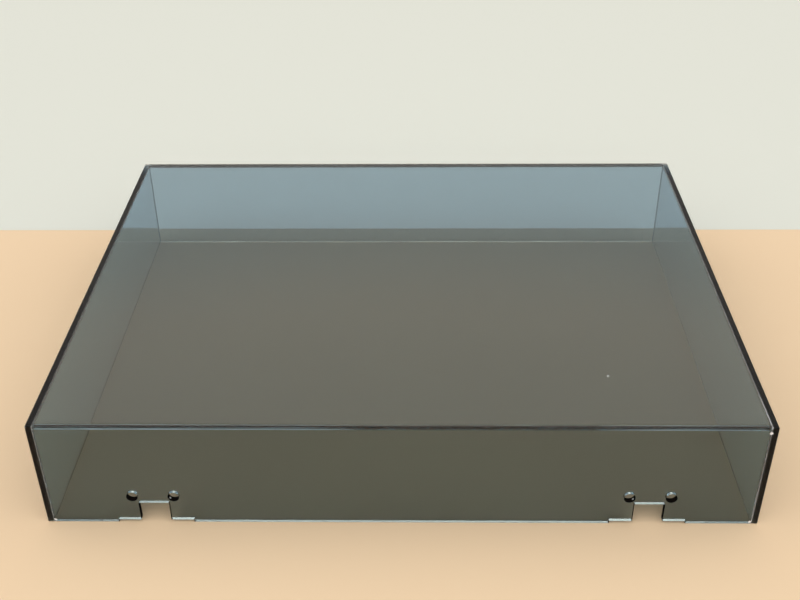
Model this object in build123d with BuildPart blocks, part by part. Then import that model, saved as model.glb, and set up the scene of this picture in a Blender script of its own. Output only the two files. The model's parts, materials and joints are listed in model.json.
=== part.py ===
import os

from build123d import *

# Dust cover for a record deck: five sheets of smoked acrylic, butted and cemented into an open-bottomed box.
# Millimetres. X runs along the hinge wall, Y from the hinge wall to the front wall, Z up from the rim.

# The box and its sheet
cover_width = 450.0
cover_depth = 350.0
cover_height = 78.5
sheet = 4.0
edge_break = 0.3

# The two hinge cut-outs in the hinge wall, each with a pair of screw holes
hinge_spread = 311.0
flange_relief_width = 48.0
flange_relief_height = 2.0
arm_slot_width = 19.0
arm_slot_height = 16.4
slot_corner_radius = 0.5
screw_hole_diameter = 7.0
screw_hole_spacing = 26.0
screw_hole_height = 21.5

# The side walls run the full depth, the other sheets are cut to fit between them
inner_width = cover_width - 2 * sheet
inner_depth = cover_depth - 2 * sheet
hinge_face = Plane.XZ.offset(cover_depth / 2)
front_face = Plane.XZ.offset(-cover_depth / 2)
rim_aligned = (Align.CENTER, Align.MIN)


def outer_rim_edges(wall, outermost):
    """The long edges along the top and the rim of a wall's outer face, at one end of the Y axis."""
    outer_edges = wall.edges().filter_by(Axis.X).group_by(Axis.Y)[outermost]
    levels = outer_edges.group_by(Axis.Z)
    return levels[0] + levels[-1]


# The top panel lies flush between the upper edges of all four walls
with BuildPart() as top_panel:
    with BuildSketch(Plane.XY.offset(cover_height - sheet)):
        Rectangle(inner_width, inner_depth)
    extrude(amount=sheet)

# The hinge wall has a shallow relief and a slot for each hinge, cut up from its rim
with BuildPart() as hinge_wall:
    with BuildSketch(hinge_face):
        Rectangle(inner_width, cover_height, align=rim_aligned)
        with GridLocations(hinge_spread, 0, 2, 1):
            Rectangle(flange_relief_width, flange_relief_height, align=rim_aligned, mode=Mode.SUBTRACT)
    extrude(amount=-sheet)
    with BuildSketch(hinge_face):
        with GridLocations(hinge_spread, 0, 2, 1):
            Rectangle(arm_slot_width, arm_slot_height, align=rim_aligned)
    extrude(amount=-sheet, mode=Mode.SUBTRACT)
    slot_roofs = hinge_wall.faces().filter_by(Axis.Z).filter_by_position(
        Axis.Z, arm_slot_height, arm_slot_height
    )
    fillet(slot_roofs.edges().filter_by(Axis.Y), slot_corner_radius)
    with Locations(hinge_face):
        with Locations((0, screw_hole_height)):
            with GridLocations(hinge_spread, 0, 2, 1):
                with GridLocations(screw_hole_spacing, 0, 2, 1):
                    Hole(screw_hole_diameter / 2)
    chamfer(outer_rim_edges(hinge_wall, 0), edge_break)

# The front wall is the same sheet without the cut-outs
with BuildPart() as front_wall:
    with BuildSketch(front_face):
        Rectangle(inner_width, cover_height, align=rim_aligned)
    extrude(amount=sheet)
    chamfer(outer_rim_edges(front_wall, -1), edge_break)

# The side walls cover the ends of the other two, so their end faces show at the corners
with BuildPart() as right_wall:
    with BuildSketch(Plane.YZ.offset(cover_width / 2)):
        Rectangle(cover_depth, cover_height, align=rim_aligned)
    extrude(amount=-sheet)
    outer_face = right_wall.faces().sort_by(Axis.X)[-1]
    end_faces = right_wall.faces().filter_by(Axis.Y)
    chamfer(outer_face.edges() + end_faces.edges().filter_by(Axis.X), edge_break)

with BuildPart() as left_wall:
    mirror(right_wall.part, about=Plane.YZ)

os.makedirs("parts", exist_ok=True)
pieces = {
    "top_panel": top_panel,
    "hinge_wall": hinge_wall,
    "front_wall": front_wall,
    "left_wall": left_wall,
    "right_wall": right_wall,
}
for name, piece in pieces.items():
    piece.part.label = name
    export_step(piece.part, f"parts/{name}.step")
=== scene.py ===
import json
import math

import bmesh
import bpy
import numpy as np
from mathutils import Matrix, Vector
from mathutils.geometry import delaunay_2d_cdt


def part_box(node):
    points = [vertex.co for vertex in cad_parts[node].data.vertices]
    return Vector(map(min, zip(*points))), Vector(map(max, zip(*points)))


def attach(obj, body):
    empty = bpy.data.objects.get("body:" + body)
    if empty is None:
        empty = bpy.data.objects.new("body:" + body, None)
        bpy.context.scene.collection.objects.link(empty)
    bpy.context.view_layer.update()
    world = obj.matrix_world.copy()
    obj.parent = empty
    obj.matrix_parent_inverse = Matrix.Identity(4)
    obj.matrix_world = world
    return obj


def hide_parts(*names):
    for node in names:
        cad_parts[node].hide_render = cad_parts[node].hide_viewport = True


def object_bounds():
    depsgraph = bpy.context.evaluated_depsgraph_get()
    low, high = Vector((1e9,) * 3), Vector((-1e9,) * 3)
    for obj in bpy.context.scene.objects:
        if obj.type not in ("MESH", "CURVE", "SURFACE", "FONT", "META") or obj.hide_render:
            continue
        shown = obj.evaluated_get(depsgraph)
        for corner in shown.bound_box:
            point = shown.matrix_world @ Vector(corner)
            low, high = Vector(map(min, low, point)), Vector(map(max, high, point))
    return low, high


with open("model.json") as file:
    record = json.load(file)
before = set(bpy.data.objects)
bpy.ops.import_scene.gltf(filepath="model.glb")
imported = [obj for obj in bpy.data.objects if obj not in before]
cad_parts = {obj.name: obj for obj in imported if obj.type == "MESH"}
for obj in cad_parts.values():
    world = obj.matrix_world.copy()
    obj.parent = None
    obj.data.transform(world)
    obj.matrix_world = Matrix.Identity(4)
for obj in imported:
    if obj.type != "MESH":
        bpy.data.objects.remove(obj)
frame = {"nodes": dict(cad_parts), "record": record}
cadBox = [list(corner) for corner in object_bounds()]
scene = bpy.context.scene
mm = 0.001
print("frame loaded:", ", ".join(sorted(frame["nodes"])))

# the last mark is painted shade: a darker colour on some cut faces and rims
edgeMarkNames = ("cement", "dull", "milky", "matt", "paintedShade")   # attributes on the faces, for the material

# What every sheet of the cover shares
sheetCut = {
    "cementGap": 0.02 * mm,     # air left between two cemented faces, so that none coincide
    "arris": 0.3 * mm,          # radius of the broken edges
    "arrisSteps": 4,
    "cutBreak": 0.5,            # share of the arris on sawn edges and on the inside of the rim
    "cornerRadius": 0.45 * mm,  # corners of the side walls, seen face on
    "cornerSteps": 6,
    "cell": 11 * mm,            # spacing of the points inside a flat face
    "cellClear": 0.3,           # share of it that the points keep from the edges
    "cellMerge": 1e-8,          # points of a flat face that are closer than this become one
    "weld": 0.001 * mm,         # and points of the whole sheet that are closer than this
    "slide": 0.9,               # cosine of a turn, over which a point slides instead of crossing lines
    "crease": 40,               # degrees from which an edge is sharp
}

# Places that several pieces share
gap = sheetCut["cementGap"]
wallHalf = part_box("hinge_wall")[1].x - gap   # ends of the hinge and front walls, along X
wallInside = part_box("front_wall")[0].y       # inner faces of these two, along Y
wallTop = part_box("hinge_wall")[1].z
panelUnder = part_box("top_panel")[0].z
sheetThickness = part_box("top_panel")[1].z - panelUnder
coverHalf, coverTop = cadBox[1][1], cadBox[1][2]


# Arc: its centre plus the radius times the cosine and sine of an angle that runs between two bearings.
def arcPoints(centre, radius, fromAngle, toAngle, steps):
    angle = np.linspace(fromAngle, toAngle, steps + 1)
    return np.asarray(centre) + radius * np.column_stack((np.cos(angle), np.sin(angle)))


# Loop moved inwards: each edge line goes in by its own distance, and each point to where its lines cross.
def insetLoop(points, edgeInset):
    run = np.roll(points, -1, axis=0) - points
    run = run / np.linalg.norm(run, axis=1)[:, None]
    after = np.column_stack((run[:, 1], -run[:, 0]))
    before = np.roll(after, 1, axis=0)
    insetAfter = edgeInset[:, None]
    insetBefore = np.roll(edgeInset, 1)[:, None]
    bend = (before * after).sum(axis=1)[:, None]
    shallow = bend > sheetCut["slide"]
    spread = np.where(shallow, 1.0, 1.0 - bend ** 2)
    crossing = (insetBefore * (before - bend * after) + insetAfter * (after - bend * before)) / spread
    sliding = (before + after) * (insetBefore + insetAfter) / 2 / (1.0 + bend)
    return points - np.where(shallow, sliding, crossing)


# Even-odd test: a spot is inside a loop where a ray from it crosses an odd number of the loop's edges.
def insideLoop(spots, loop):
    ends = np.roll(loop, -1, axis=0)
    u, v = spots[:, 0, None], spots[:, 1, None]
    straddles = (loop[:, 1] > v) != (ends[:, 1] > v)
    rise = np.where(ends[:, 1] == loop[:, 1], 1.0, ends[:, 1] - loop[:, 1])   # level edges don't count
    crossesAt = loop[:, 0] + (v - loop[:, 1]) * (ends[:, 0] - loop[:, 0]) / rise
    return (straddles & (u < crossesAt)).sum(axis=1) % 2 == 1


# Distance from each spot to a loop: the nearest foot of a perpendicular, held to the ends of its edge.
def loopDistance(spots, loop):
    run = np.roll(loop, -1, axis=0) - loop
    reach = ((spots[:, None] - loop) * run).sum(axis=2) / (run ** 2).sum(axis=1)
    foot = loop + np.clip(reach, 0, 1)[:, :, None] * run
    return np.linalg.norm(spots[:, None] - foot, axis=2).min(axis=1)


# Flat face: an even grid of points inside the loops, in a Delaunay net that keeps each loop and seam line.
def flatFace(loops, seamLines):
    low, high = loops[0].min(axis=0), loops[0].max(axis=0)
    count = ((high - low) / sheetCut["cell"]).astype(int) + 1
    along = [np.linspace(start, end, steps) for start, end, steps in zip(low, high, count)]
    grid = np.stack(np.meshgrid(*along), axis=-1).reshape(-1, 2)
    keep = insideLoop(grid, loops[0])
    for loop in loops[1:]:
        keep &= ~insideLoop(grid, loop)
    for loop in [*loops, *seamLines]:
        keep &= loopDistance(grid, loop) > sheetCut["cell"] * sheetCut["cellClear"]
    chains = [*loops, *seamLines]
    starts = np.cumsum([0] + [len(chain) for chain in chains])
    edges = [np.column_stack((np.arange(len(chain)), np.roll(np.arange(len(chain)), -1))) + start
             for chain, start in zip(chains, starts)]
    edges[len(loops):] = [pair[:-1] for pair in edges[len(loops):]]
    places = np.concatenate((*chains, grid[keep]))
    places = [Vector(place) for place in places]
    onlyInside = 1   # of what the net can give: its triangles within the edges
    net = delaunay_2d_cdt(places, np.concatenate(edges).tolist(), [], onlyInside, sheetCut["cellMerge"])
    corners = np.array([corner[:] for corner in net[0]])
    triangles = np.array(net[2])
    middles = corners[triangles].mean(axis=1)
    solid = insideLoop(middles, loops[0])
    for loop in loops[1:]:
        solid &= ~insideLoop(middles, loop)
    return corners, triangles[solid]


# Sheet: a profile of quarter round, straight run and quarter round is carried along each loop of the
# outline, ring by ring through the thickness, and two flat faces close it. A loop is its points, and for
# each edge how far it is broken on the outer and on the inner side, and its marks.
def sheetMesh(name, loops, thickness, origin, axes, innerSeams=(), innerCement=None):
    turn = np.linspace(0, math.pi / 2, sheetCut["arrisSteps"] + 1)
    rounding = sheetCut["arris"] * (1 - np.sin(turn))
    sinking = sheetCut["arris"] * (1 - np.cos(turn))
    outerInset = np.concatenate((rounding, np.zeros(len(turn))))
    innerInset = outerInset[::-1]
    depths = np.concatenate((sinking, thickness - sinking[::-1]))
    blocks, faces, marks, smooth = [], [], [], []
    edgeLoops = {0: [], -1: []}
    total = 0
    for points, outerBreak, innerBreak, edgeMarks in loops:
        rings = np.stack([insetLoop(points, outerBreak * outer + innerBreak * inner)
                          for outer, inner in zip(outerInset, innerInset)])
        count = len(points)
        depth = np.broadcast_to(depths[:, None, None], (len(depths), count, 1))
        blocks.append(np.concatenate((rings, depth), axis=2).reshape(-1, 3))
        ring, edge = np.meshgrid(np.arange(len(depths) - 1), np.arange(count), indexing="ij")
        ahead = (edge + 1) % count
        quads = np.stack((ring * count + edge, ring * count + ahead,
                          (ring + 1) * count + ahead, (ring + 1) * count + edge), axis=-1)
        faces += (quads.reshape(-1, 4) + total).tolist()
        marks.append(np.tile(edgeMarks, (len(depths) - 1, 1)))
        smooth.append((ring != sheetCut["arrisSteps"]).ravel())
        total += len(blocks[-1])
        for side in edgeLoops:
            edgeLoops[side].append(rings[side])
    for side, seamLines, cementTest in ((0, (), None), (-1, innerSeams, innerCement)):
        corners, triangles = flatFace(edgeLoops[side], seamLines)
        blocks.append(np.column_stack((corners, np.full(len(corners), depths[side]))))
        faces += (triangles + total).tolist()
        faceMarks = np.zeros((len(triangles), len(edgeMarkNames)))
        if cementTest:
            faceMarks[:, 0] = cementTest(corners[triangles].mean(axis=1))
        marks.append(faceMarks)
        smooth.append(np.zeros(len(triangles), bool))
        total += len(corners)
    places = np.concatenate(blocks) @ np.asarray(axes, float) + np.asarray(origin)
    mesh = bpy.data.meshes.new(name)
    mesh.from_pydata(places.tolist(), [], faces)
    mesh.polygons.foreach_set("use_smooth", np.concatenate(smooth))
    for mark, values in zip(edgeMarkNames, np.concatenate(marks).astype(np.float32).T):
        mesh.attributes.new(mark, "FLOAT", "FACE").data.foreach_set("value", values)
    welded = bmesh.new()
    welded.from_mesh(mesh)
    bmesh.ops.remove_doubles(welded, verts=welded.verts, dist=sheetCut["weld"])
    bmesh.ops.recalc_face_normals(welded, faces=welded.faces)
    welded.to_mesh(mesh)
    loose = sum(not edge.is_manifold for edge in welded.edges)
    welded.free()
    rounded = np.zeros(len(mesh.polygons), bool)
    mesh.polygons.foreach_get("use_smooth", rounded)
    mesh.set_sharp_from_angle(angle=math.radians(sheetCut["crease"]))   # this makes every face smooth
    mesh.polygons.foreach_set("use_smooth", rounded)   # so the flat ones are set back
    print(f"{name}: {len(mesh.polygons)} faces, {loose} open edges")
    return mesh


def addSheet(node, mesh, material):
    piece = bpy.data.objects.new(node + "_sheet", mesh)
    scene.collection.objects.link(piece)
    mesh.materials.append(material)
    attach(piece, "root")
    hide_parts(node)
    return piece


# One loop of an outline, as the arrays that sheetMesh takes
def flagged(points, flags):
    flags = np.asarray(flags, float)
    return np.asarray(points, float), flags[:, 0], flags[:, 1], flags[:, 2:]


# Edges: the share of the arris outside and inside, then the marks in the order of their names
broken = sheetCut["cutBreak"]
rimEdge = (1, broken, 0, 0, 0.4, 0, 0)         # scuffed where the cover stands
wornRim = (1, broken, 0, 0, 0.8, 0, 0)
sawnShadedRim = (1, broken, 0, 1, 0.85, 0, 0.55)     # left as the saw cut it, and darkened with painted shade
drilledEdge = (broken, broken, 0, 0, 0, 1, 0)
shadedCutEdge = (broken, broken, 0, 0, 0, 1, 1)    # cut faces darkened with painted shade
flushEdge = (1, 0, 0, 0.45, 0, 0, 0)           # trimmed level with the top panel after cementing
sandedEdge = (1, 0, 0, 0.9, 0, 0, 0)           # trimmed and sanded fine
dullEdge = (1, 0, 0, 1, 0, 0, 0)               # trimmed and sanded coarse
cementedEdge = (0, 0, 1, 0, 0, 0, 0)


def addNode(tree, kind, inputs=(), **settings):
    made = tree.nodes.new(kind)
    for name, value in settings.items():
        setattr(made, name, value)
    for name, value in dict(inputs).items():
        if isinstance(value, bpy.types.NodeSocket):
            tree.links.new(value, made.inputs[name])
        else:
            made.inputs[name].default_value = value
    return made


def mathNode(tree, operation, *values):
    return addNode(tree, "ShaderNodeMath", enumerate(values), operation=operation).outputs[0]


def product(tree, first, *others):
    for value in others:
        first = mathNode(tree, "MULTIPLY", first, value)
    return first


def largest(tree, first, *others):
    for value in others:
        first = mathNode(tree, "MAXIMUM", first, value)
    return first


def absolute(tree, value):
    return mathNode(tree, "ABSOLUTE", value)


def below(tree, value, limit):
    return mathNode(tree, "LESS_THAN", value, limit)


def above(tree, value, limit):
    return mathNode(tree, "GREATER_THAN", value, limit)


def remainder(tree, share):
    return mathNode(tree, "SUBTRACT", 1.0, share)


def ramp(tree, value, span, low=0.0, high=1.0, kind="SMOOTHSTEP"):
    made = addNode(tree, "ShaderNodeMapRange", {
        "Value": value, "From Min": span[0], "From Max": span[1], "To Min": low, "To Max": high},
        interpolation_type=kind)
    return made.outputs[0]


def mixValue(tree, share, first, second):
    return addNode(tree, "ShaderNodeMix", {0: share, 2: first, 3: second}).outputs[0]


# The colour sockets of a Mix node are its inputs 6 and 7 and its output 2
def mixColour(tree, share, first, second):
    return addNode(tree, "ShaderNodeMix", {0: share, 6: first, 7: second}, data_type="RGBA").outputs[2]


def splitAxes(tree, vector):
    return addNode(tree, "ShaderNodeSeparateXYZ", {0: vector}).outputs


# Patches: a soft noise, spread between two of its levels
def patches(tree, place, look, shares):
    noise = addNode(tree, "ShaderNodeTexNoise", {
        "Vector": place, "Scale": look["patchScale"], "Detail": look["patchDetail"]})
    return ramp(tree, noise.outputs["Fac"], look["patchLevels"], *shares)


# Distance along X from the plane of the nearer side joint
def fromSideJoint(tree, x):
    return absolute(tree, mathNode(tree, "SUBTRACT", absolute(tree, x), wallHalf))


# Distance along Y from the inner face of the front wall
def fromFrontWall(tree, y):
    return absolute(tree, mathNode(tree, "SUBTRACT", y, wallInside))


# Depth below the skin: the shorter of the ways up to the top and out to the near or far face
def skinDepth(tree, y, z):
    return mathNode(tree, "MINIMUM", mathNode(tree, "SUBTRACT", coverTop, z),
                    mathNode(tree, "SUBTRACT", coverHalf, absolute(tree, y)))


# Cement in the joints, with shares that say how milky it is
cementLook = {
    "nearFrom": (2.6 * mm, 3.2 * mm),      # depth at which the near joint turns milky
    "clearLeft": (-75 * mm, -15 * mm),     # that joint clears between these places along X
    "clearRight": (105 * mm, 165 * mm),
    "nearLeft": 1.0,                       # its share on the left, in the middle and on the right, which follow a painted reflection
    "nearMiddle": 0.18,
    "nearRight": 0.75,
    "nearReach": 0.5 * mm,                 # how far it counts past its plane
    "nearEnds": 0.08 * mm,                 # and how far it ends before the side joints
    "sidesFrom": (0.0 * mm, 0.5 * mm),     # depth at which the side joints turn milky
    "sides": (0.3, 0.6),                   # their share, in patches
    "patchScale": 90.0,
    "patchDetail": 2.0,
    "patchLevels": (0.3, 0.7),
    "rightFrom": (200 * mm, 210 * mm),     # past here along X is the right joint
    "whiteFrom": (-135 * mm, -160 * mm),   # which is white from here to its near end
}


# Along X the near joint is milky on the left, almost clear in the middle and weaker on the right: cement
# haze, with a painted reflection in how it changes along X
def nearHazeAndReflection(tree, x):
    left = ramp(tree, x, cementLook["clearLeft"], cementLook["nearLeft"], cementLook["nearMiddle"])
    right = ramp(tree, x, cementLook["clearRight"], cementLook["nearMiddle"], cementLook["nearRight"])
    return largest(tree, left, right)


# Milky share of a joint: it grows with the depth below the skin, and changes along the joint
def cementHaze(tree, place):
    x, y, z = splitAxes(tree, place)
    depth = skinDepth(tree, y, z)
    general = patches(tree, place, cementLook, cementLook["sides"])
    white = product(tree, ramp(tree, y, cementLook["whiteFrom"]), ramp(tree, x, cementLook["rightFrom"]))
    sides = product(tree, ramp(tree, depth, cementLook["sidesFrom"]), largest(tree, general, white))
    near = product(tree, ramp(tree, depth, cementLook["nearFrom"]), nearHazeAndReflection(tree, x))
    onNear = product(tree, below(tree, y, cementLook["nearReach"] - wallInside),
                     below(tree, absolute(tree, x), wallHalf - cementLook["nearEnds"]))
    return mixValue(tree, onNear, sides, near)


# Cement squeezed out on the skin, along the seams of the side walls
smearLook = {
    "width": (0.15 * mm, 0.55 * mm),       # to each side of a seam
    "depth": (0.2 * mm, 0.4 * mm),
    "general": (0.0, 0.06),                # its share, in patches
    "patchScale": 140.0,
    "patchDetail": 2.0,
    "patchLevels": (0.3, 0.65),
    "leftUpright": 0.12,                   # on the near left corner
    "rightUpright": (0.22, 0.10),          # on the near right corner, at its foot and its head
    "topRight": (0.12, 0.35),              # along the right seam on top, and where its joint is white
    "reach": 1 * mm,                       # how far in the near face and the top count
}


# Smear: a narrow line along each seam, whose share is the largest of what falls to that seam
def seamSmear(tree, place):
    x, y, z = splitAxes(tree, place)
    line = product(tree, ramp(tree, fromSideJoint(tree, x), smearLook["width"], 1.0, 0.0),
                   ramp(tree, skinDepth(tree, y, z), smearLook["depth"], 1.0, 0.0))
    onRight = ramp(tree, x, cementLook["rightFrom"])
    rightUpright = ramp(tree, z, (0.0, coverTop), *smearLook["rightUpright"])
    upright = product(tree, mixValue(tree, onRight, smearLook["leftUpright"], rightUpright),
                      below(tree, y, smearLook["reach"] - coverHalf))
    topRight = product(tree, onRight, ramp(tree, y, cementLook["whiteFrom"], *smearLook["topRight"]),
                       above(tree, z, coverTop - smearLook["reach"]))
    general = patches(tree, place, smearLook, smearLook["general"])
    return product(tree, line, largest(tree, general, upright, topRight))


# Painted highlight: a pale film low on the inner faces, where their broken lower edges catch light
rimGlintLook = {
    "sides": (0.25, 0.6),                  # share on the left and on the right wall
    "sidesHeight": (1.2 * mm, 1.9 * mm),
    "sidesTurn": (-100 * mm, 100 * mm),    # from the left to the right, along X
    "front": 0.9,                          # share on the front wall
    "frontHeight": (0.8 * mm, 1.3 * mm),
    "reach": 0.2 * mm,                     # how far a face counts
}


# Painted highlight: a share that fades out upwards, on the side walls between the other two and on the
# front wall
def paintedRimGlint(tree, place):
    x, y, z = splitAxes(tree, place)
    onSide = product(tree, below(tree, fromSideJoint(tree, x), rimGlintLook["reach"]),
                     below(tree, absolute(tree, y), wallInside))
    sides = product(tree, onSide, ramp(tree, z, rimGlintLook["sidesHeight"], 1.0, 0.0),
                    ramp(tree, x, rimGlintLook["sidesTurn"], *rimGlintLook["sides"]))
    front = product(tree, below(tree, fromFrontWall(tree, y), rimGlintLook["reach"]),
                    ramp(tree, z, rimGlintLook["frontHeight"], rimGlintLook["front"], 0.0))
    return largest(tree, sides, front)


# Painted shade along the joints: dark lines in the inside corners and on the hinge wall's upper edge
jointShadeLook = {
    "colour": (0.05, 0.05, 0.045, 1.0),
    "corner": 0.9,                         # share of painted shade in the inside corners by the front wall
    "cornerWidth": (0.3 * mm, 0.7 * mm),
    "ledge": 0.6,                          # share of painted shade on the hinge wall's upper edge, over milky cement
    "ledgeFrom": (-173.7 * mm, -173.3 * mm),
    "ledgeTo": (-172.5 * mm, -172.1 * mm),
    "ledgeReach": 0.1 * mm,                # how far down that edge counts
}


# Painted shade: round each inside corner by the larger of two distances, and in a line between two places
# along Y
def paintedJointShade(tree, place):
    x, y, z = splitAxes(tree, place)
    corner = ramp(tree, largest(tree, fromSideJoint(tree, x), fromFrontWall(tree, y)),
                  jointShadeLook["cornerWidth"], jointShadeLook["corner"], 0.0)
    ledge = product(tree, ramp(tree, y, jointShadeLook["ledgeFrom"]),
                    ramp(tree, y, jointShadeLook["ledgeTo"], jointShadeLook["ledge"], 0.0),
                    above(tree, z, coverTop - jointShadeLook["ledgeReach"]), nearHazeAndReflection(tree, x))
    return largest(tree, corner, ledge)


# Dust all over, and single specks
dustLook = {
    "scale": 45.0,                         # cells per metre, along each way
    "radius": (0.15 * mm, 0.3 * mm),
    "share": 0.7,
    "speckCore": 0.6,                      # share of its radius in which a single speck is even
    "specks": (                            # place and radius in mm, and how milky
        (220.8, -175.0, 74.4, 1.3, 0.8),   # bubbles and beads at the corners
        (220.0, -175.0, 1.7, 1.1, 0.8),
        (-220.0, -175.0, 1.8, 1.1, 0.7),
        (-224.7, -175.0, 78.0, 0.7, 0.3),
        (130.8, -124.5, 78.5, 0.8, 0.6),   # larger dust
        (-56.7, -175.0, 50.6, 0.6, 0.25),
        (-145.0, -173.0, 19.0, 0.8, 0.8),  # chips in two holes
        (145.0, -173.0, 19.0, 0.8, 0.8),
    ),
}


# Dust: the cells of a Voronoi pattern whose point lies close to the face leave a speck there
def dustSpecks(tree, place):
    cells = addNode(tree, "ShaderNodeTexVoronoi", {"Vector": place, "Scale": dustLook["scale"]})
    fade = [radius * dustLook["scale"] for radius in dustLook["radius"]]
    return ramp(tree, cells.outputs["Distance"], fade, dustLook["share"], 0.0)


# Single specks: each fades out at its radius from its place
def singleSpecks(tree, place):
    shares = []
    for *spot, radius, share in dustLook["specks"]:
        away = addNode(tree, "ShaderNodeVectorMath", {0: place, 1: Vector(spot) * mm}, operation="DISTANCE")
        fade = (dustLook["speckCore"] * radius * mm, radius * mm)
        shares.append(ramp(tree, away.outputs["Value"], fade, share, 0.0))
    return largest(tree, *shares)


# Smoked acrylic itself, and its edges
acrylicLook = {
    "ior": 1.49,
    "absorption": (192.0, 140.0, 113.0),   # red, green and blue taken per metre, as an exponent
    "densityRoom": 2.0,                    # density over the largest of these
    "colour": (0.95, 0.96, 0.955, 1.0),    # what haze and dust show
    "polish": 0.02,                        # roughness of the faces
    "dullRoughness": 0.5,                  # added on dull edges
    "dullShine": 0.3,                      # share of the mirror that dull edges keep
    "mattShine": 0.15,                     # and that drilled faces keep
    "paintedShadeColour": (0.008, 0.006, 0.005, 1.0),    # colour of the painted shade on cut faces and rims
    "rimWarmLight": (1.0, 0.82, 0.62, 1.0),   # painted warm light on the sawn rims and on the painted rim highlight
    "rimMilky": (0.4, 0.8),                # milky edges take that colour from here
    "rimGlintFrom": (0.0, 0.1),              # and the painted rim highlight from here
    "rimDressed": (222.6 * mm, 223.4 * mm),   # past here the side walls' rims are smoother
    "rimDressedShare": 0.55,
}


def smokedAcrylic():
    material = bpy.data.materials.new("smokedAcrylic")
    material.use_nodes = True
    tree = material.node_tree
    tree.nodes.clear()
    look = acrylicLook
    place = addNode(tree, "ShaderNodeTexCoord").outputs["Object"]
    cement, dull, milky, matt, paintedShade = [
        addNode(tree, "ShaderNodeAttribute", attribute_name=mark).outputs["Fac"] for mark in edgeMarkNames]
    specks = singleSpecks(tree, place)
    # painted highlight low on the inner faces
    rimGlint = paintedRimGlint(tree, place)
    # painted shade on cut faces and rims, left out where a chip is
    paintedCutShade = product(tree, paintedShade, remainder(tree, specks))

    # Film: the largest of all that lies on the skin or in a joint, and hides the clear acrylic
    aside = absolute(tree, splitAxes(tree, place)["X"])
    rim = product(tree, milky, ramp(tree, aside, look["rimDressed"], 1.0, look["rimDressedShare"]))
    haze = product(tree, cementHaze(tree, place), cement)
    film = largest(tree, rimGlint, seamSmear(tree, place), dustSpecks(tree, place), specks, haze, rim, paintedCutShade)

    # Cemented faces, and faces darkened with painted shade, don't bend light
    straight = largest(tree, cement, paintedCutShade)
    bend = mathNode(tree, "MULTIPLY_ADD", straight, 1.0 - look["ior"], look["ior"])
    rough = mathNode(tree, "MULTIPLY_ADD", product(tree, dull, dull), look["dullRoughness"], look["polish"])
    rough = product(tree, rough, remainder(tree, cement))
    shine = mathNode(tree, "MINIMUM", ramp(tree, dull, (0, 1), 1.0, look["dullShine"], "LINEAR"),
                     ramp(tree, matt, (0, 1), 1.0, look["mattShine"], "LINEAR"))
    # painted warm light on the milky rims and the painted rim highlight
    warm = largest(tree, ramp(tree, milky, look["rimMilky"]), ramp(tree, rimGlint, look["rimGlintFrom"]))
    colour = mixColour(tree, warm, look["colour"], look["rimWarmLight"])
    # painted shade in the inside corners and along the hinge wall's upper edge
    colour = mixColour(tree, paintedJointShade(tree, place), colour, jointShadeLook["colour"])
    # painted shade, near black, on the marked cut faces and rims
    colour = mixColour(tree, paintedCutShade, colour, look["paintedShadeColour"])
    shader = addNode(tree, "ShaderNodeBsdfPrincipled", {
        "Base Color": colour, "Roughness": rough, "IOR": bend,
        "Transmission Weight": remainder(tree, film), "Specular Tint": shine})

    # A volume takes its density times what its colour lacks of white
    density = look["densityRoom"] * max(look["absorption"])
    tint = [1 - share / density for share in look["absorption"]]
    smoke = addNode(tree, "ShaderNodeVolumeAbsorption", {"Color": (*tint, 1), "Density": density})
    addNode(tree, "ShaderNodeOutputMaterial", {"Surface": shader.outputs[0], "Volume": smoke.outputs[0]})
    print("smoked acrylic:", len(tree.nodes), "nodes")
    return material


acrylic = smokedAcrylic()

# Top panel: a plain rectangle, cemented along all four edges
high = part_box("top_panel")[1]
halfWidth, halfDepth = high.x - gap, high.y - gap
outline = [(-halfWidth, -halfDepth), (halfWidth, -halfDepth),
           (halfWidth, halfDepth), (-halfWidth, halfDepth)]
addSheet("top_panel", sheetMesh(
    "topPanel", [flagged(outline, [cementedEdge] * 4)], sheetThickness, (0, 0, high.z),
    ((1, 0, 0), (0, 1, 0), (0, 0, -1))), acrylic)

# Hinge wall: two stepped cut-outs from the rim and a pair of round holes over each
hingeCut = {
    "reliefWidth": 48 * mm,
    "reliefHeight": 2 * mm,
    "slotWidth": 19 * mm,
    "slotHeight": 16.4 * mm,
    "slotCorner": 0.5 * mm,
    "holeSteps": 64,
}
hinges = [mount for mount in frame["record"]["mounts"] if mount["kind"] == "bolt_pattern"]


# Cut-out: up the relief's side, in to the slot, up and over it by two small arcs, and down again, mirrored.
def cutOut(middle):
    relief, slot = hingeCut["reliefWidth"] / 2, hingeCut["slotWidth"] / 2
    ledge, roof, radius = hingeCut["reliefHeight"], hingeCut["slotHeight"], hingeCut["slotCorner"]
    arc = arcPoints((radius - slot, roof - radius), radius, math.pi, math.pi / 2, sheetCut["cornerSteps"])
    left = np.concatenate(([(-relief, 0), (-relief, ledge), (-slot, ledge)], arc))
    return np.concatenate((left, left[::-1] * (-1, 1))) + (middle, 0)


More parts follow.
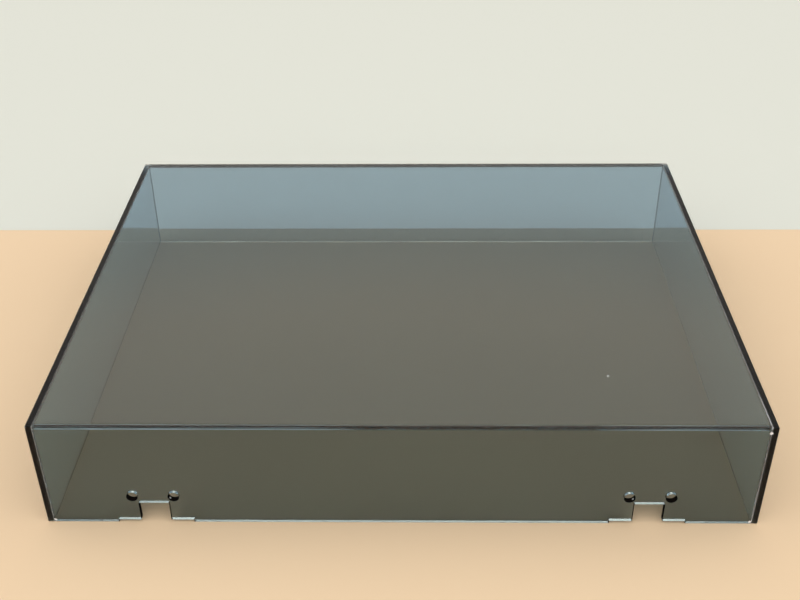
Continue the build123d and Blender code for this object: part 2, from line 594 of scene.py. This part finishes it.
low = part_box("hinge_wall")[0]
cutOuts = [cutOut(mount["pos_m"][0]) for mount in sorted(hinges, key=lambda mount: mount["pos_m"][0])]
overRim = [(wallHalf, 0), (wallHalf, panelUnder), (wallHalf, wallTop),
           (-wallHalf, wallTop), (-wallHalf, panelUnder)]
outline = np.concatenate(([(-wallHalf, 0)], *cutOuts, overRim))
flags = [rimEdge]
for cut in cutOuts:
    run = abs(np.diff(cut, axis=0))
    # the upright sides of each cut-out get painted shade
    flags += [shadedCutEdge if steep else drilledEdge for steep in run[:, 1] > run[:, 0]] + [rimEdge]
flags += [cementedEdge, cementedEdge, flushEdge, cementedEdge, cementedEdge]
loops = [flagged(outline, flags)]
for mount in hinges:
    for side in (-0.5, 0.5):
        centre = (mount["pos_m"][0] + side * mount["dims"]["spacing_x_mm"] * mm, mount["pos_m"][2])
        radius = mount["dims"]["hole_r_mm"] * mm
        circle = arcPoints(centre, radius, 2 * math.pi, 0, hingeCut["holeSteps"])[:-1]
        # the lower half of each hole gets painted shade
        lower = np.roll(circle, -1, axis=0)[:, 1] + circle[:, 1] < 2 * centre[1]
        loops.append(flagged(circle, [shadedCutEdge if isLower else drilledEdge for isLower in lower]))
panelSeam = np.array([(-wallHalf, panelUnder), (wallHalf, panelUnder)])
addSheet("hinge_wall", sheetMesh(
    "hingeWall", loops, sheetThickness, (0, low.y, 0), ((1, 0, 0), (0, 0, 1), (0, 1, 0)),
    [panelSeam], lambda spots: spots[:, 1] > panelUnder), acrylic)

# Front wall: the same sheet without the cut-outs
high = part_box("front_wall")[1]
outline = [(-wallHalf, 0), *overRim]
flags = [wornRim, cementedEdge, cementedEdge, sandedEdge, cementedEdge, cementedEdge]
addSheet("front_wall", sheetMesh(
    "frontWall", [flagged(outline, flags)], sheetThickness, (0, high.y, 0),
    ((1, 0, 0), (0, 0, 1), (0, -1, 0)), [panelSeam], lambda spots: spots[:, 1] > panelUnder), acrylic)

# Side walls: they cover the ends of the other two, and their corners are rounded a little
for node, side in (("right_wall", 1), ("left_wall", -1)):
    low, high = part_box(node)
    depthHalf = high.y
    innerHalf = depthHalf - sheetThickness
    radius = sheetCut["cornerRadius"]
    centre = (depthHalf - radius, wallTop - radius)
    corner = arcPoints(centre, radius, 0, math.pi / 2, sheetCut["cornerSteps"])
    upper = np.concatenate((corner, [(innerHalf, wallTop)]))
    upper = np.concatenate((upper, upper[::-1] * (-1, 1)))
    lower = (upper * (-1, -1)) + (0, wallTop)
    outline = np.concatenate((upper, lower))
    flags = [dullEdge] * len(outline)
    firstRim = len(upper) + sheetCut["cornerSteps"]
    # the rims of the side walls are sawn, and darkened with painted shade
    flags[firstRim:firstRim + 3] = [sawnShadedRim] * 3
    rimInset = sheetCut["arris"] * broken
    seams = [np.array([(end, rimInset), (end, wallTop)]) for end in (-innerHalf, innerHalf)]
    seams.append(np.array([(-innerHalf, panelUnder), (innerHalf, panelUnder)]))
    addSheet(node, sheetMesh(
        "rightWall" if side > 0 else "leftWall", [flagged(outline, flags)], sheetThickness,
        (high.x if side > 0 else low.x, 0, 0), ((0, 1, 0), (0, 0, 1), (-side, 0, 0)), seams,
        lambda spots: (spots[:, 1] > panelUnder) | (abs(spots[:, 0]) > innerHalf)), acrylic)
print("five sheets in place")

# Stage: a plain pale floor, and a paler sheet that lies on it behind the cover
stageLook = {
    "floorSize": 60.0,
    "floorDrop": 0.05 * mm,                # from the cover's rim down to the sheet
    "sheetDrop": 0.1 * mm,                 # and from there to the floor
    "floorColour": (0.84, 0.62, 0.40, 1),
    "sheetFrom": 197.5 * mm,
    "sheetColour": (0.72, 0.72, 0.635, 1),
    "sheetGlow": (0.68, 0.49, 0.41, 1),    # painted light: a glow the sheet adds on top of that, only for rays through the acrylic
    "roughness": 0.8,
    "specular": 0.2,
}


def stagePlane(name, corners, height, colour, glow=None):
    mesh = bpy.data.meshes.new(name)
    mesh.from_pydata([(x, y, height) for x, y in corners], [], [(0, 1, 2, 3)])
    material = bpy.data.materials.new(name)
    material.use_nodes = True
    shader = material.node_tree.nodes["Principled BSDF"]
    shader.inputs["Base Color"].default_value = colour
    shader.inputs["Roughness"].default_value = stageLook["roughness"]
    shader.inputs["Specular IOR Level"].default_value = stageLook["specular"]
    # painted light: the sheet glows, but only for rays that come through the acrylic
    if glow:
        path = addNode(material.node_tree, "ShaderNodeLightPath").outputs
        material.node_tree.links.new(path["Is Transmission Ray"], shader.inputs["Emission Strength"])
        shader.inputs["Emission Color"].default_value = glow
    mesh.materials.append(material)
    plane = bpy.data.objects.new(name, mesh)
    scene.collection.objects.link(plane)


reach = stageLook["floorSize"] / 2
start = stageLook["sheetFrom"]
stagePlane("floor", [(-reach, -reach), (reach, -reach), (reach, reach), (-reach, reach)],
           -stageLook["floorDrop"] - stageLook["sheetDrop"], stageLook["floorColour"])
stagePlane("paper", [(-reach, start), (reach, start), (reach, reach), (-reach, reach)],
           -stageLook["floorDrop"], stageLook["sheetColour"], stageLook["sheetGlow"])

# World: the camera meets one pale tone, mirrors and glass a painted room, and a soft sky lights the rest.
# Rises and tops are sines of the height above the horizon, and spreads of the way round from the sides.
worldLook = {
    "skyLow": 0.67,                        # strength at the horizon and overhead
    "skyHigh": 1.3,
    "skyTilt": 0.65,                       # how much brighter it is on the camera's side
    "backgroundTone": (0.80, 0.80, 0.76, 1),
    "roomTone": (0.13, 0.13, 0.13, 1),     # round about
    "backTone": (0.92, 0.93, 0.89, 1),     # behind the cover, low down
    "backTopTone": (1.40, 1.17, 0.97, 1),  # and higher up
    "backSpread": (0.55, 0.7),
    "backRise": (0.48, 0.57),
    "stripTone": (4.40, 3.20, 2.40, 1),    # a bright strip over that
    "stripRise": (0.655, 0.70),
    "overheadTone": (0.18, 0.18, 0.18, 1),
    "overheadRise": (0.76, 0.88),
    "boxTone": (13.0, 12.2, 11.2, 1),      # a soft box low behind the camera, for glass alone
    "boxSpread": (0.45, 0.6),
    "boxTop": (0.14, 0.24),
}
world = bpy.data.worlds.new("studio")
scene.world = world
world.use_nodes = True
tree = world.node_tree
tree.nodes.clear()
path = addNode(tree, "ShaderNodeLightPath").outputs
bearing = splitAxes(tree, addNode(tree, "ShaderNodeTexCoord").outputs["Generated"])
away, rise = bearing["Y"], bearing["Z"]

sky = ramp(tree, rise, (0, 1), worldLook["skyLow"], worldLook["skyHigh"], "LINEAR")
sky = product(tree, sky, mathNode(tree, "MULTIPLY_ADD", away, -worldLook["skyTilt"], 1.0))
lit = addNode(tree, "ShaderNodeBackground", {"Color": (1, 1, 1, 1), "Strength": sky})

back = mixColour(tree, ramp(tree, rise, worldLook["backRise"]),
                 worldLook["backTone"], worldLook["backTopTone"])
back = mixColour(tree, ramp(tree, rise, worldLook["stripRise"]), back, worldLook["stripTone"])
room = mixColour(tree, ramp(tree, away, worldLook["backSpread"]), worldLook["roomTone"], back)
room = mixColour(tree, ramp(tree, rise, worldLook["overheadRise"]), room, worldLook["overheadTone"])
softBox = product(tree, ramp(tree, product(tree, away, -1.0), worldLook["boxSpread"]),
                  ramp(tree, rise, worldLook["boxTop"], 1.0, 0.0), path["Is Transmission Ray"])
room = mixColour(tree, softBox, room, worldLook["boxTone"])
room = mixColour(tree, path["Is Camera Ray"], room, worldLook["backgroundTone"])
painted = addNode(tree, "ShaderNodeBackground", {"Color": room, "Strength": 1.0})

seen = largest(tree, path["Is Camera Ray"], path["Is Glossy Ray"], path["Is Transmission Ray"])
both = addNode(tree, "ShaderNodeMixShader", {0: seen, 1: lit.outputs[0], 2: painted.outputs[0]})
addNode(tree, "ShaderNodeOutputWorld", {"Surface": both.outputs[0]})
print("stage and world set")

# Camera: placed by the cover's edges in an 800 by 600 picture
cameraView = {
    "focalPixels": 1089.08,
    "pictureWidth": 800,
    "sensor": 36.0,
    "place": (9.806 * mm, -673.102 * mm, 499.962 * mm),
    "pitch": 33.552,   # degrees downwards
    "yaw": -1.0454,    # to the right
    "roll": -0.5661,   # anticlockwise
}
pitch, yaw, roll = (math.radians(cameraView[turn]) for turn in ("pitch", "yaw", "roll"))
ahead = Vector((math.sin(yaw) * math.cos(pitch), math.cos(yaw) * math.cos(pitch), -math.sin(pitch)))
right = Vector((math.cos(yaw), -math.sin(yaw), 0))
up = right.cross(ahead)
across = math.cos(roll) * right + math.sin(roll) * up
upright = math.cos(roll) * up - math.sin(roll) * right
cameraData = bpy.data.cameras.new("camera")
cameraData.sensor_width = cameraView["sensor"]
cameraData.lens = cameraView["focalPixels"] / cameraView["pictureWidth"] * cameraView["sensor"]
camera = bpy.data.objects.new("camera", cameraData)
turned = Matrix((across, upright, -ahead)).transposed().to_4x4()
camera.matrix_world = Matrix.Translation(cameraView["place"]) @ turned
scene.collection.objects.link(camera)
scene.camera = camera

# Light finds its way through several sheets and along them, so paths are long
scene.view_settings.view_transform = "Standard"
scene.cycles.max_bounces = 48
scene.cycles.transmission_bounces = 48
scene.cycles.glossy_bounces = 24
scene.cycles.diffuse_bounces = 4
scene.cycles.blur_glossy = 0.0
